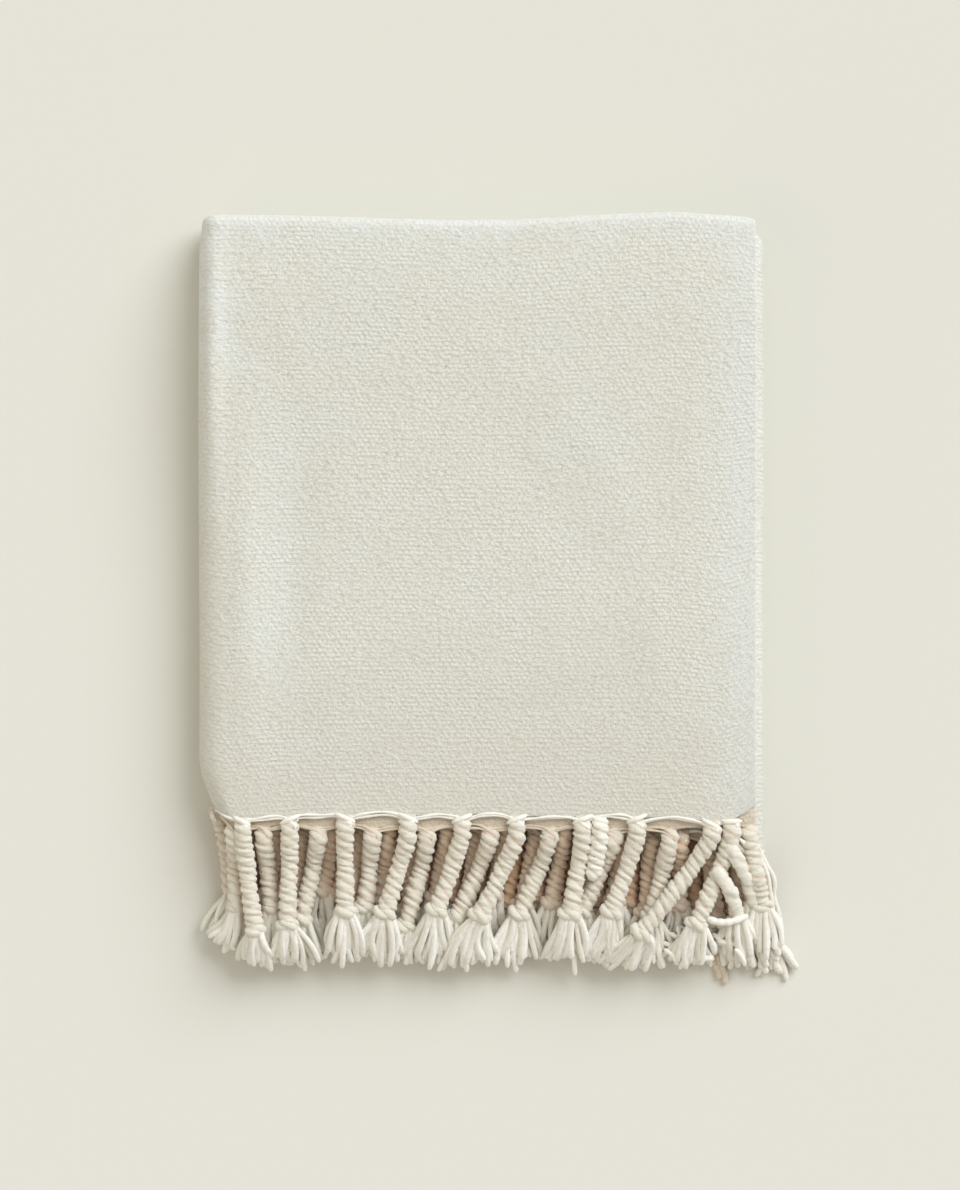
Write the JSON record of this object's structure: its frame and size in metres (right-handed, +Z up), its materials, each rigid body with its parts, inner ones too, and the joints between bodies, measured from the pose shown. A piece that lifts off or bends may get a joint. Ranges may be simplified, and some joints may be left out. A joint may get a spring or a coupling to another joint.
{
  "type": "throw blanket",
  "caption": "Ivory chenille throw folded into a flat rectangle, with twisted and knotted rope fringe showing along one edge",
  "frame": {"origin": "the middle of the folded cloth's flat underside, on the surface it rests on", "axes": "+Z up from the surface, +Y from the fringe towards the folded edge, +X towards the open selvedge side"},
  "size_m": [0.4509, 0.5987, 0.0501],
  "materials": {
    "cloth": "soft, matt chenille weave",
    "fringe": "matt twisted cotton-like yarn"
  },
  "bodies": {
    "root": {"blanket_cloth": "cloth", "fringe_outer": "fringe", "fringe_inner": "fringe"}
  },
  "joints": []
}
